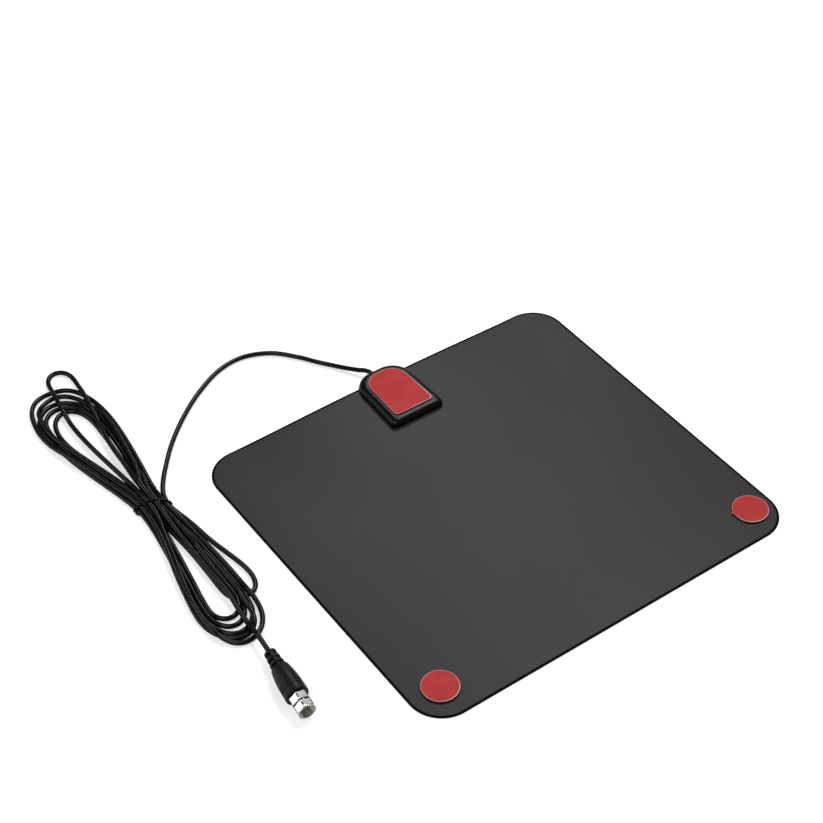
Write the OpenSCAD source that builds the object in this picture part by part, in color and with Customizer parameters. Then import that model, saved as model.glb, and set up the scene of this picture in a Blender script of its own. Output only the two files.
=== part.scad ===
// Flat indoor TV antenna: a thin laminated sheet with a small housing clamped to its far edge,
// two round adhesive pads at its near corners, and a coaxial lead wound into a tied hank.
// The sheet lies on its front face, so the adhesive side looks up. Millimetres.
// Origin: under the middle of the sheet and housing. +X along the width, +Y towards the housing.

/* [Sheet] */
// Width of the sheet
sheet_w = 285; // [240:1:360]
// Depth of the sheet
sheet_d = 263; // [220:1:340]
// Radius of the sheet's corners
sheet_corner_r = 23; // [5:1:40]
// Thickness of each of the two plastic films
film_t = 0.28; // [0.15:0.01:0.6]
// Thickness of the foil laminated between the films
foil_t = 0.06; // [0.03:0.01:0.2]
// Bare border between the foil and the sheet's edge
foil_border = 12; // [6:1:25]
// Width of the feed slot in the foil
feed_slot_w = 4; // [2:0.5:6]
// Length of the cross slot at the end of the feed slot
cross_slot_l = 150; // [60:1:190]
// Width of the cross slot
cross_slot_w = 20; // [6:1:40]
// Distance of the cross slot from the foil's near edge
cross_slot_back = 63; // [20:1:90]
// Width of the ring over which the sheet rises to the housing
rise_run = 85; // [50:1:90]

/* [Housing] */
// How far right of the sheet's middle line the housing sits
housing_x = 2.7; // [-20:0.1:20]
// How far the cord's hole lies to the left of the housing's middle
cord_side = 3; // [-4:0.5:4]
// Width of the housing at its near end
housing_w = 43; // [40:0.5:60]
// Width of the housing at its far end
housing_far_w = 39.5; // [38:0.5:56]
// Length of the housing
housing_l = 54.5; // [50:0.5:70]
// How far the housing hangs out past the sheet's edge
overhang = 7; // [4:0.5:12]
// Radius of the housing's near corners
near_corner_r = 4; // [3:0.5:8]
// Radius of the pad's two near corners
pad_corner_r = 2.8; // [1:0.2:3]
// Radius of the housing's far corners
far_corner_r = 15; // [8:0.5:17]
// Thickness of the front shell, under the sheet
front_t = 1.6; // [1.2:0.1:3]
// Height of the rear shell above the sheet
rear_h = 5.6; // [5.4:0.1:9]
// How far the rear shell's edge rolls inwards to its flat top
roll_w = 5; // [3:0.5:6]
// Height of the upright part of the rear shell's side
upright_h = 1.2; // [0.6:0.1:2]
// Wall of the rear shell at its foot
wall_t = 2.6; // [2:0.1:3.2]
// Thickness of the rear shell's roof
roof_t = 1.4; // [1:0.1:2]

/* [Pegs and rivets] */
// Diameter of the four pegs that join the shells
peg_d = 3; // [2:0.1:3.4]
// Wall of the sockets that take the pegs
socket_wall = 1.2; // [0.8:0.1:1.5]
// Spacing of the pegs across the housing
peg_pitch_x = 31; // [29:0.5:32]
// Spacing of the pegs along the housing
peg_pitch_y = 33; // [26:0.5:34]
// Distance of the near pegs from the housing's near edge
peg_edge = 7.5; // [6.5:0.5:10]
// Diameter of the rivets that join the foil to the circuit board
rivet_d = 1.8; // [1.2:0.1:2.4]
// Diameter of the rivets' heads
rivet_head_d = 3.4; // [2.8:0.1:4]
// Thickness of the rivets' heads
rivet_head_t = 0.4; // [0.2:0.1:0.6]
// Spacing of the two rivets
rivet_pitch = 12; // [10:0.5:14]

/* [Circuit board] */
// Width of the circuit board
board_w = 22; // [20:0.5:23]
// Length of the circuit board
board_l = 32; // [30:0.5:34]
// Thickness of the circuit board
board_t = 0.8; // [0.6:0.1:1]
// Width of the matching transformer's core
core_w = 7; // [5:0.5:9]
// Length of the core
core_l = 5; // [3:0.5:6]
// Height of the core
core_h = 2.6; // [2:0.1:2.8]
// Diameter of the core's two holes
core_hole_d = 1.4; // [1:0.1:1.6]
// Diameter of the winding's wire
winding_d = 0.5; // [0.3:0.05:0.6]

/* [Adhesive pads] */
// Width of the bare rim round the housing's pad
pad_rim = 6; // [5.5:0.1:9]
// Thickness of the housing's pad
housing_pad_t = 0.9; // [0.6:0.1:2]
// Depth of the recess that the housing's pad sits in
pad_recess = 0.4; // [0.2:0.1:0.6]
// Diameter of the round corner pads
disc_d = 24; // [15:0.5:30]
// Thickness of the round corner pads
disc_t = 1.1; // [0.6:0.1:2]
// Distance of the corner pads' middles from the sheet's sides, before the housing's shift
disc_side = 19.5; // [17:0.5:30]
// Distance of the corner pads' middles from the sheet's near edge
disc_inset = 23; // [18:0.5:40]
// Thickness of the release liners
liner_t = 0.12; // [0.08:0.01:0.3]

/* [Cord] */
// Diameter of the coaxial cord
cord_d = 3.3; // [2.6:0.1:3.4]
// Height of the cord's middle where it leaves the housing
exit_z = 4.75; // [4.7:0.05:5]
// Diameter of the cord's braid
braid_d = 2.5; // [1.8:0.1:2.5]
// Diameter of the cord's inner insulation
core_insulation_d = 1.7; // [1.2:0.1:1.7]
// Diameter of the cord's centre wire
wire_d = 0.5; // [0.3:0.05:0.8]
// Height of the hank
hank_h = 10; // [8:0.5:14]
// Thickness of the wire tie round the hank
tie_d = 1.2; // [0.8:0.1:1.4]

/* [Plug] */
// Length of the moulded boot
boot_l = 37.4; // [34:0.1:45]
// Radius of the boot at its front
boot_front_r = 7.4; // [7:0.1:9]
// Radius of the boot's shoulder behind the ribs
boot_shoulder_r = 5.6; // [4.6:0.1:6]
// Radius of the boot's core between the ribs
boot_core_r = 2.3; // [2:0.1:3.2]
// Radius of the first rib
rib_r = 3.9; // [3.6:0.1:4.2]
// How much each rib is larger than the one before
rib_step = 0.35; // [0.2:0.05:0.5]
// Thickness of a rib
rib_t = 2.3; // [1.6:0.1:2.8]
// Spacing of the ribs
rib_pitch = 4.4; // [3.8:0.1:5]
// Width across the flats of the coupling nut
nut_af = 11; // [10.8:0.1:12]
// Length of the coupling nut
nut_l = 12.3; // [11:0.1:15]
// Radius inside the coupling nut's thread
thread_r = 4.4; // [4.3:0.05:4.5]
// Thickness of the coupling nut's rear web
web_t = 2; // [1.5:0.1:3]
// Radius of the plug body's neck, which the nut turns on
neck_r = 3.1; // [2.9:0.05:3.3]
// Radius of the plug body inside the boot
barrel_r = 5; // [4.4:0.1:5.2]
// Length of the plug body inside the boot
barrel_l = 12; // [8:0.5:14]
// Radius of the white insulator
insulator_r = 2.3; // [1.8:0.1:2.4]
// Diameter of the centre pin's free end
pin_d = 0.9; // [0.75:0.05:1.2]
// Diameter of the centre pin inside the insulator
pin_root_d = 0.5; // [0.4:0.05:0.6]

/* [Hidden] */

far = 400;
round_fn = 96;
corner_fn = 48;

// Heights, from the table up
sheet_t = 2 * film_t + foil_t;
seam_z = front_t + sheet_t;
top_z = seam_z + rear_h;
board_z = seam_z + board_t;

// Places along Y
edge_y = (sheet_d - overhang) / 2;
sheet_y = edge_y - sheet_d / 2;
housing_y0 = edge_y + overhang - housing_l;
housing_y1 = edge_y + overhang;
peg_y = housing_y0 + peg_edge;

// The sheet is flat out to rise_r round the housing's middle, then comes down over rise_run
rise_y = (housing_y0 + edge_y) / 2;
rise_r = sqrt(pow(housing_w / 2, 2) + pow((edge_y - housing_y0) / 2, 2)) + 2;
rise_steps = 13;
function ease(u) = u * u * (3 - 2 * u);
function rise_curve(z) = concat([[0, front_t + z]],
    [for (i = [0 : rise_steps]) [rise_r + rise_run * i / rise_steps, front_t * (1 - ease(i / rise_steps)) + z]],
    [[far, z]]);
function reversed(p) = [for (i = [len(p) - 1 : -1 : 0]) p[i]];

// Outline that wraps a chain of circles, counter-clockwise, with straight tangents between them
function turn(v) = [v[1], -v[0]];
function tangent(c1, r1, c2, r2) = let (d = c2 - c1, l = norm(d), s = (r1 - r2) / l,
    n = sqrt(1 - s * s) * turn(d / l) + s * d / l) [c1 + r1 * n, c2 + r2 * n];
module wrap(c, r) {
    m = len(c);
    polygon([for (i = [0 : m - 1]) each tangent(c[i], r[i], c[(i + 1) % m], r[(i + 1) % m])]);
    for (i = [0 : m - 1]) translate(c[i]) circle(r[i], $fn = corner_fn);
}

// The housing's outline, moved inwards by inset: two small near corners, two large far ones
side_slope = (housing_far_w - housing_w) / 2 / housing_l;
side_stretch = sqrt(1 + side_slope * side_slope);
function side_x(y, inset) = housing_w / 2 + side_slope * (y - housing_y0) - inset * side_stretch;
module housing_outline(inset) {
    rn = max(near_corner_r - inset / 2, pad_corner_r);
    rf = far_corner_r - inset / 2;
    yn = housing_y0 + inset + rn;
    yf = housing_y1 - inset - rf;
    xn = side_x(yn, inset + rn);
    xf = side_x(yf, inset + rf);
    translate([housing_x, 0]) wrap([[-xn, yn], [xn, yn], [xf, yf], [-xf, yf]], [rn, rn, rf, rf]);
}
module housing_slice(inset, z) { translate([0, 0, z]) linear_extrude(0.01) housing_outline(inset); }

module sheet_outline(border, r) {
    w = sheet_w - 2 * border;
    d = sheet_d - 2 * border;
    translate([0, sheet_y]) {
        square([w - 2 * r, d], center = true);
        square([w, d - 2 * r], center = true);
        for (x = [-1, 1], y = [-1, 1]) translate([x * (w / 2 - r), y * (d / 2 - r)]) circle(r, $fn = round_fn);
    }
}

// The layer of the sheet between two heights above its underside
module sheet_layer(z0, z1) {
    translate([housing_x, rise_y, 0]) rotate_extrude($fn = round_fn)
        polygon(concat(rise_curve(z0), reversed(rise_curve(z1))));
}

module at_pegs() {
    for (x = [-1, 1], y = [0, 1])
        translate([housing_x + x * peg_pitch_x / 2, peg_y + y * peg_pitch_y, 0]) children();
}
rivet_y = housing_y0 + 17;
module at_rivets() {
    for (x = [-1, 1]) translate([housing_x + x * rivet_pitch / 2, rivet_y, 0]) children();
}
peg_hole_gap = 0.25;
rivet_gap = 0.05;
module sheet_holes(gap) {
    at_pegs() cylinder(h = far, r = peg_d / 2 + gap, center = true, $fn = 32);
    at_rivets() cylinder(h = far, r = rivet_d / 2 + rivet_gap, center = true, $fn = 32);
}

// The foil: one plate with a feed slot between the rivets that ends in a cross slot
module foil_outline() {
    foil_r = max(sheet_corner_r - foil_border, 1);
    slot_y = sheet_y - sheet_d / 2 + foil_border + cross_slot_back;
    difference() {
        sheet_outline(foil_border, foil_r);
        translate([housing_x - feed_slot_w / 2, slot_y]) square([feed_slot_w, sheet_d]);
        translate([housing_x - cross_slot_l / 2, slot_y]) square([cross_slot_l, cross_slot_w]);
    }
}
module foil_prism() { translate([0, 0, -far / 2]) linear_extrude(far) foil_outline(); }
module sheet_prism() { translate([0, 0, -far / 2]) linear_extrude(far) sheet_outline(0, sheet_corner_r); }

module front_film() {
    color("#3c3c3e") difference() {
        intersection() { sheet_layer(0, film_t); sheet_prism(); }
        sheet_holes(peg_hole_gap);
    }
}
module antenna_foil() {
    color("silver") difference() {
        intersection() { sheet_layer(film_t, film_t + foil_t); foil_prism(); }
        sheet_holes(peg_hole_gap);
    }
}
// The rear film is pressed round the foil: it is as thick as foil and film together past the foil's edge
module round_the_foil() {
    translate([0, 0, -far / 2]) linear_extrude(far) difference() {
        square(2 * far, center = true);
        foil_outline();
    }
}
module rear_film() {
    color("#444446") difference() {
        intersection() {
            union() {
                sheet_layer(film_t + foil_t, sheet_t);
                intersection() { sheet_layer(film_t, sheet_t - film_t / 2); round_the_foil(); }
            }
            sheet_prism();
        }
        sheet_holes(peg_hole_gap);
    }
}

cord_x = housing_x - cord_side;
edge_gap = 0.15;
peg_top_gap = 0.3;
peg_top = top_z - roof_t - peg_top_gap;
module front_shell() {
    color("#1c1c1d") {
        difference() {
            // Beyond the sheet's edge the shell is as thick as itself and the sheet
            linear_extrude(seam_z) housing_outline(0);
            translate([-far / 2, edge_y + edge_gap - far, front_t]) cube([far, far, far]);
            at_rivets() translate([0, 0, front_t - rivet_head_t - edge_gap])
                cylinder(h = front_t, d = rivet_head_d + 2 * edge_gap, $fn = 32);
        }
        at_pegs() translate([0, 0, front_t / 2]) cylinder(h = peg_top - front_t / 2, d = peg_d, $fn = 32);
    }
}

// The rear shell: its side stands upright, then rolls over a quarter ellipse to the flat top
roll_steps = 6;
foot_inset = 0.4;
roll_h = rear_h - upright_h;
socket_gap = 0.1;
cord_gap = 0.1;
module rear_shell() {
    color("#202022") difference() {
        union() {
            difference() {
                hull() {
                    housing_slice(foot_inset, seam_z);
                    for (i = [0 : roll_steps])
                        housing_slice(roll_w * (1 - cos(90 * i / roll_steps)),
                            seam_z + upright_h + (roll_h - 0.01) * sin(90 * i / roll_steps));
                }
                translate([0, 0, seam_z - 1]) linear_extrude(rear_h - roof_t + 1) housing_outline(wall_t);
                translate([0, 0, top_z - pad_recess]) linear_extrude(rear_h) housing_outline(pad_rim - cord_gap);
            }
            at_pegs() translate([0, 0, seam_z]) cylinder(h = rear_h - roof_t + 0.2, d = peg_d + 2 * socket_wall, $fn = 32);
        }
        at_pegs() translate([0, 0, seam_z - 1])
            cylinder(h = rear_h - roof_t + 1, r = peg_d / 2 + socket_gap, $fn = 32);
        translate([cord_x, housing_y1 + 1, exit_z]) rotate([90, 0, 0])
            cylinder(h = wall_t + 6, r = cord_d / 2 + cord_gap, $fn = 48);
    }
}

board_y0 = housing_y0 + 9.5;
board_y1 = board_y0 + board_l;
module circuit_board() {
    color("darkgreen") difference() {
        translate([housing_x - board_w / 2, board_y0, seam_z]) cube([board_w, board_l, board_t]);
        at_rivets() cylinder(h = far, r = rivet_d / 2 + rivet_gap, center = true, $fn = 32);
    }
}

// Two-hole ferrite core of the matching transformer, with its wire through both holes
core_y = rivet_y + 5;
hole_x = core_w / 4;
module balun_core() {
    color("#505050") difference() {
        translate([housing_x - core_w / 2, core_y - core_l / 2, board_z]) cube([core_w, core_l, core_h]);
        for (x = [-1, 1]) translate([housing_x + x * hole_x, core_y, board_z + core_h / 2]) rotate([90, 0, 0])
            cylinder(h = core_l + 2, d = core_hole_d, center = true, $fn = 32);
    }
}
module balun_winding() {
    reach = core_l / 2 + winding_d;
    color("peru") translate([housing_x, core_y, board_z + core_h / 2]) {
        for (x = [-1, 1]) translate([x * hole_x, 0, 0]) rotate([90, 0, 0])
            cylinder(h = 2 * reach, d = winding_d, center = true, $fn = 24);
        for (y = [-1, 1]) translate([0, y * reach, 0]) rotate([0, 90, 0])
            cylinder(h = 2 * hole_x + winding_d, d = winding_d, center = true, $fn = 24);
        for (x = [-1, 1]) translate([x * hole_x, -reach, -core_h / 2])
            cylinder(h = core_h / 2, d = winding_d, $fn = 24);
    }
}

// Three chip parts beside the transformer
chip = [1.25, 2, 0.6];
module board_chips() {
    color("tan") for (p = [[-8.5, 8], [8.5, 8], [8.5, 13]])
        translate([housing_x + p[0] - chip[0] / 2, rivet_y + p[1] - chip[1] / 2, board_z]) cube(chip);
}

module contact_rivets() {
    color("gold") at_rivets() {
        translate([0, 0, front_t - rivet_head_t]) cylinder(h = rivet_head_t, d = rivet_head_d, $fn = 32);
        translate([0, 0, front_t - rivet_head_t])
            cylinder(h = sheet_t + board_t + 2 * rivet_head_t, d = rivet_d, $fn = 32);
        translate([0, 0, board_z]) cylinder(h = rivet_head_t, d = rivet_head_d, $fn = 32);
    }
}

// The stripped end of the cord runs in beside the housing's middle, above the board
jacket_y0 = board_y1 - 5;
jacket_y1 = housing_y1 + 1;
braid_y0 = jacket_y0 - 6.5;
core_end_y = braid_y0 - 2.5;
wire_end_y = core_end_y - 1.5;
module along_y(y0, y1, d) {
    translate([cord_x, y1, exit_z]) rotate([90, 0, 0]) cylinder(h = y1 - y0, d = d, $fn = 32);
}
module cord_jacket_end() { color("#161616") along_y(jacket_y0, jacket_y1, cord_d); }
module cord_braid_end() { color("silver") along_y(braid_y0, jacket_y0, braid_d); }
module cord_core_end() { color("white") along_y(core_end_y, braid_y0, core_insulation_d); }
module cord_wire_end() {
    color("peru") {
        along_y(wire_end_y, core_end_y, wire_d);
        translate([cord_x, wire_end_y, exit_z]) sphere(d = wire_d, $fn = 24);
        translate([cord_x, wire_end_y, board_z]) cylinder(h = exit_z - board_z, d = wire_d, $fn = 24);
    }
}
// A metal saddle soldered to the board holds the braid and takes the pull of the cord
clamp_l = 4;
clamp_t = 0.35;
foot_w = 1.6;
fit_gap = 0.02;
module cord_clamp() {
    inner = braid_d / 2 + fit_gap;
    outer = inner + clamp_t;
    color("gainsboro") translate([cord_x, braid_y0 + 1, 0]) difference() {
        union() {
            translate([0, clamp_l, exit_z]) rotate([90, 0, 0]) cylinder(h = clamp_l, r = outer, $fn = 32);
            translate([-outer, 0, board_z]) cube([2 * outer, clamp_l, exit_z - board_z]);
            translate([-outer - foot_w, 0, board_z]) cube([2 * (outer + foot_w), clamp_l, clamp_t]);
        }
        translate([0, clamp_l + 1, exit_z]) rotate([90, 0, 0]) cylinder(h = clamp_l + 2, r = inner, $fn = 32);
        translate([-inner, -1, board_z - 1]) cube([2 * inner, clamp_l + 2, exit_z - board_z + 1]);
    }
}

pad_z = top_z - pad_recess;
module housing_pad() { color("#b8b4b0") translate([0, 0, pad_z]) linear_extrude(housing_pad_t) housing_outline(pad_rim); }
module housing_liner() {
    color("#c02a2a") translate([0, 0, pad_z + housing_pad_t]) linear_extrude(liner_t) housing_outline(pad_rim);
}
disc_x = sheet_w / 2 - disc_side;
disc_y = sheet_y - sheet_d / 2 + disc_inset;
liner_trim = 0.2;
module round_pad(side) {
    translate([housing_x + side * disc_x, disc_y, sheet_t]) cylinder(h = disc_t, d = disc_d, $fn = round_fn);
}
module round_liner(side) {
    translate([housing_x + side * disc_x, disc_y, sheet_t + disc_t])
        cylinder(h = liner_t, d = disc_d - 2 * liner_trim, $fn = round_fn);
}
module left_pad() { color("#b8b4b0") round_pad(-1); }
module left_liner() { color("#c02a2a") round_liner(-1); }
module right_pad() { color("#b8b4b0") round_pad(1); }
module right_liner() { color("#c02a2a") round_liner(1); }

// A tube swept along a route: a smooth curve through the points, with some rings between each two
function curve_at(p, i, u) = let (m = len(p) - 1, a = p[max(i - 1, 0)], b = p[i], c = p[min(i + 1, m)], d = p[min(i + 2, m)])
    0.5 * (2 * b + (c - a) * u + (2 * a - 5 * b + 4 * c - d) * u * u + (3 * b - a - 3 * c + d) * u * u * u);
function smooth_route(p, n) = [for (i = [0 : len(p) - 2], k = [0 : n - 1]) curve_at(p, i, k / n), p[len(p) - 1]];
function unit(v) = v / norm(v);
module tube(route, d, rings, sides) {
    p = smooth_route(route, rings);
    m = len(p);
    points = [for (i = [0 : m - 1]) let (t = unit(p[min(i + 1, m - 1)] - p[max(i - 1, 0)]),
        s = unit(cross(t, [0, 0, 1])), up = cross(s, t))
        for (k = [0 : sides - 1]) p[i] + d / 2 * (cos(360 * k / sides) * s + sin(360 * k / sides) * up)];
    walls = [for (i = [0 : m - 2], k = [0 : sides - 1]) let (a = i * sides + k, b = i * sides + (k + 1) % sides)
        each [[a, b, b + sides], [a, b + sides, a + sides]]];
    caps = [[for (k = [sides - 1 : -1 : 0]) k], [for (k = [0 : sides - 1]) (m - 1) * sides + k]];
    polyhedron(points, concat(walls, caps));
}

// The lead: out of the housing, down to the table and round to the hank's side at the tie
cord_sides = 8;
lead_route = [[cord_x, jacket_y1, exit_z], [-1.6, 138.9, 4.6], [-4.4, 142.2, 4], [-8.4, 148, 3.1],
    [-12.6, 154.6, 2.3], [-17.2, 161.6, 1.8], [-23.5, 170.5, 1.7], [-30, 180.4, 1.7], [-43.5, 195.5, 1.7],
    [-62.5, 203.5, 1.7], [-83.5, 201, 1.7], [-107.5, 188.7, 1.7], [-129, 172.8, 1.7], [-147, 156, 1.7],
    [-162, 138, 2.5], [-170, 127, 4], [-175, 119, 5]];
module cord_lead() { color("#161616") tube(lead_route, cord_d, 2, cord_sides); }

// The hank: six turns pinched at the tie, drawn as one solid of their outer shape
waist = [-185, 113];
waist_r = 10;
tie_gap = 0.1;
module tie_ring(inner, outer, l) {
    translate([waist[0], waist[1] + l / 2, 0]) rotate([90, 0, 0]) linear_extrude(l) difference() {
        translate([0, hank_h / 2]) offset_box(2 * waist_r, hank_h, outer);
        translate([0, hank_h / 2]) offset_box(2 * waist_r, hank_h, inner);
    }
}
tie_corner_r = 3;
module offset_box(w, h, grow) {
    r = tie_corner_r + grow;
    square([w + 2 * grow - 2 * r, h + 2 * grow], center = true);
    square([w + 2 * grow, h + 2 * grow - 2 * r], center = true);
    for (x = [-1, 1], y = [-1, 1]) translate([x * (w / 2 + grow - r), y * (h / 2 + grow - r)]) circle(r, $fn = 32);
}
module cord_hank() {
    color("#161616") difference() {
        linear_extrude(hank_h) {
            wrap([waist, [-188, 0]], [waist_r, 21]);
            wrap([waist, [-175, 254], [-188.5, 226]], [waist_r, 12, 21]);
        }
        tie_ring(-tie_d - tie_gap, far, tie_d + 2 * tie_gap);
    }
}
module cord_tie() { color("#1a1a1a") tie_ring(-tie_d, 0, tie_d); }

// The plug lies on its boot's front rim, turned a little off the sheet's side
plug_x = -190.5;
plug_y = -36.3;
plug_turn = -6.5;
module at_plug() {
    translate([plug_x, plug_y, boot_front_r]) rotate([0, 0, plug_turn]) rotate([90, 0, 0]) children();
}
tail_socket = 8;
tail_route = [[-189, -20, 7.6], [-189.6, -26, 7.5], [-190.1, -31.5, boot_front_r], [plug_x, plug_y, boot_front_r],
    [plug_x + tail_socket * sin(plug_turn), plug_y - tail_socket * cos(plug_turn), boot_front_r]];
module cord_tail() { color("#161616") tube(tail_route, cord_d, 1, cord_sides); }

// The boot: ribs round a slim core, a shoulder, then a body that flares fast and flattens out
rib_count = 3;
rib_bevel = 0.35;
shoulder_z = rib_count * rib_pitch;
flare_steps = 12;
front_bevel = 0.5;
function flare(u) = boot_shoulder_r + (boot_front_r - boot_shoulder_r) * (1 - pow(1 - u, 3));
boot_profile = concat([[0, 0]],
    [for (i = [0 : rib_count - 1]) let (z = i * rib_pitch, r = rib_r + i * rib_step)
        each [[boot_core_r, z], [r - rib_bevel, z], [r, z + rib_bevel], [r, z + rib_t - rib_bevel],
            [r - rib_bevel, z + rib_t], [boot_core_r, z + rib_t]]],
    [[boot_core_r, shoulder_z], [boot_shoulder_r - front_bevel, shoulder_z]],
    [for (i = [0 : flare_steps]) let (u = i / flare_steps)
        [flare(u), shoulder_z + front_bevel + (boot_l - shoulder_z - 2 * front_bevel) * u]],
    [[boot_front_r - front_bevel, boot_l], [0, boot_l]]);
rib_web_w = 2;
ring_groove = 0.7;
groove_depth = 0.3;
module plug_boot() {
    color("#1b1b1b") at_plug() difference() {
        union() {
            rotate_extrude($fn = round_fn) polygon(boot_profile);
            // A web above and below ties the ribs together
            translate([-rib_web_w / 2, -rib_r + rib_bevel, rib_t / 2])
                cube([rib_web_w, 2 * (rib_r - rib_bevel), shoulder_z]);
        }
        translate([0, 0, -1]) cylinder(h = tail_socket + 1, r = cord_d / 2 + cord_gap, $fn = 32);
        translate([0, 0, boot_l - barrel_l]) cylinder(h = barrel_l + 1, r = barrel_r + fit_gap, $fn = 64);
        for (z = [8.4, 5.7]) translate([0, 0, boot_l - z]) difference() {
            cylinder(h = ring_groove, r = 2 * boot_front_r, $fn = 64);
            translate([0, 0, -1]) cylinder(h = ring_groove + 2, r = flare(1 - z / (boot_l - shoulder_z)) - groove_depth, $fn = 64);
        }
    }
}

// The plug body: a barrel in the boot, a neck for the nut to turn on and a flange that keeps it
nut_gap = 0.3;
run_gap = 0.08;
flange_t = 0.8;
nut_z0 = boot_l + nut_gap;
flange_z = nut_z0 + web_t + nut_gap / 2;
flange_r = thread_r - nut_gap;
module plug_body() {
    color("gainsboro") at_plug() difference() {
        union() {
            translate([0, 0, boot_l - barrel_l]) cylinder(h = barrel_l, r = barrel_r, $fn = 64);
            translate([0, 0, boot_l - 1]) cylinder(h = flange_z - boot_l + 1 + flange_t / 2, r = neck_r, $fn = 64);
            translate([0, 0, flange_z]) cylinder(h = flange_t, r = flange_r, $fn = 64);
        }
        translate([0, 0, boot_l - barrel_l / 2]) cylinder(h = far, r = insulator_r + fit_gap, $fn = 48);
    }
}
face_z = flange_z + flange_t;
module plug_insulator() {
    color("white") at_plug() difference() {
        translate([0, 0, boot_l - barrel_l / 2]) cylinder(h = face_z - boot_l + barrel_l / 2, r = insulator_r, $fn = 48);
        translate([0, 0, boot_l]) cylinder(h = far, d = pin_root_d + 2 * fit_gap, $fn = 32);
    }
}
pin_back = 0.4;
pin_end = nut_z0 + nut_l - pin_back;
module centre_pin() {
    color("gold") at_plug() {
        translate([0, 0, boot_l]) cylinder(h = face_z - boot_l, d = pin_root_d, $fn = 32);
        translate([0, 0, face_z]) cylinder(h = pin_end - face_z - pin_d / 2, d = pin_d, $fn = 32);
        translate([0, 0, pin_end - pin_d / 2]) cylinder(h = pin_d / 2, d1 = pin_d, d2 = pin_d / 2, $fn = 32);
    }
}

// The coupling nut: a hexagon with bevelled ends and a ring groove, threaded inside
nut_turn = -14;
nut_groove_z = 5.6;
nut_groove_w = 1.6;
nut_groove_depth = 0.8;
nut_bevel = 0.7;
module coupling_nut() {
    corner_r = nut_af / 2 / cos(30);
    color("silver") at_plug() translate([0, 0, nut_z0]) difference() {
        intersection() {
            rotate([0, 0, nut_turn]) cylinder(h = nut_l, r = corner_r, $fn = 6);
            rotate_extrude($fn = 64) polygon([[0, 0], [corner_r - nut_bevel, 0], [corner_r, nut_bevel],
                [corner_r, nut_groove_z - nut_groove_w / 2], [corner_r - nut_groove_depth, nut_groove_z],
                [corner_r, nut_groove_z + nut_groove_w / 2],
                [corner_r, nut_l - nut_bevel], [corner_r - nut_bevel, nut_l], [0, nut_l]]);
        }
        translate([0, 0, -1]) cylinder(h = nut_l, r = neck_r + run_gap, $fn = 64);
        translate([0, 0, web_t]) cylinder(h = nut_l, r = thread_r, $fn = 64);
        translate([0, 0, nut_l - nut_bevel / 2])
            cylinder(h = nut_bevel, r1 = thread_r, r2 = thread_r + nut_bevel, $fn = 64);
    }
}

front_film();
antenna_foil();
rear_film();
front_shell();
rear_shell();
circuit_board();
balun_core();
balun_winding();
board_chips();
contact_rivets();
cord_clamp();
cord_jacket_end();
cord_braid_end();
cord_core_end();
cord_wire_end();
housing_pad();
housing_liner();
left_pad();
left_liner();
right_pad();
right_liner();
cord_lead();
cord_hank();
cord_tail();
cord_tie();
plug_boot();
plug_body();
plug_insulator();
centre_pin();
coupling_nut();
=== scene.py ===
"""Looks of a flat indoor TV antenna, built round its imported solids. Lengths are in mm until a mesh is made."""

import math

import bpy
import numpy as np
from mathutils import Matrix, Vector


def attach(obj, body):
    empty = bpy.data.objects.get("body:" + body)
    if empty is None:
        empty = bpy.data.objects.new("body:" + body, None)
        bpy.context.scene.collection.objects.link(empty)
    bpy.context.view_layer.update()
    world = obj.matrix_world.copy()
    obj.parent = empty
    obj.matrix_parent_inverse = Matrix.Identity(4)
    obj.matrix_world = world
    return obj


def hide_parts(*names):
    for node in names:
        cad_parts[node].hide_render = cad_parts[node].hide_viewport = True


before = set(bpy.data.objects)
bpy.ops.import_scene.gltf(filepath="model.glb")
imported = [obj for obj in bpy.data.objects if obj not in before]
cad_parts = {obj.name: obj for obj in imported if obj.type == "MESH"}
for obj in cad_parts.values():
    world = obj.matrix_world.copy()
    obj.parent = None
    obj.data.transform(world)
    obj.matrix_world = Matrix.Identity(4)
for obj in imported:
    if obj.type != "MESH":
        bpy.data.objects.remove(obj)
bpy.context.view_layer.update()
MM = 0.001
BODY = "antenna"
NUT_BODY = "nut"

# ---------------------------------------------------------------- sizes, as in the part's source
FILM, FOIL, FRONT, REAR = 0.28, 0.06, 1.6, 5.6
SHEET = 2 * FILM + FOIL
SEAM = FRONT + SHEET
TOP = SEAM + REAR
SHEET_W, SHEET_D, SHEET_R = 285.0, 263.0, 23.0
EDGE_Y, OVERHANG = 128.0, 7.0
SHEET_Y = EDGE_Y - SHEET_D / 2
HOUSING_X, HOUSING_W, HOUSING_FAR_W, HOUSING_L = 2.7, 43.0, 39.5, 54.5
NEAR_R, FAR_R, PAD_CORNER_R = 4.0, 15.0, 2.8
HOUSING_Y0, HOUSING_Y1 = EDGE_Y + OVERHANG - HOUSING_L, EDGE_Y + OVERHANG
RISE_Y = (HOUSING_Y0 + EDGE_Y) / 2
RISE_R = math.hypot(HOUSING_W / 2, (EDGE_Y - HOUSING_Y0) / 2) + 2
RISE_RUN = 85.0
ROLL, UPRIGHT, FOOT = 5.0, 1.2, 0.4
RIM, RECESS, PAD, LINER = 6.0, 0.4, 0.9, 0.12
DISC_R, DISC_PAD, DISC_SIDE, DISC_INSET, DISC_TAB = 12.0, 1.1, 19.5, 23.0, math.radians(162)
DISC_APART = SHEET_W / 2 - DISC_SIDE
CORD, EXIT_LEFT, EXIT_Y, EXIT_Z = 3.3, 3.0, 136.0, 4.75
CORD_X = HOUSING_X - EXIT_LEFT
PLUG = np.array([-190.5, -36.3, 7.4])
PLUG_TURN = math.radians(-6.5)
BOOT_L = 37.4
NUT_GAP, NUT_AF, NUT_L, THREAD_R, WEB, NUT_TURN = 0.3, 11.0, 12.3, 4.4, 2.0, math.radians(-14)
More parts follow.
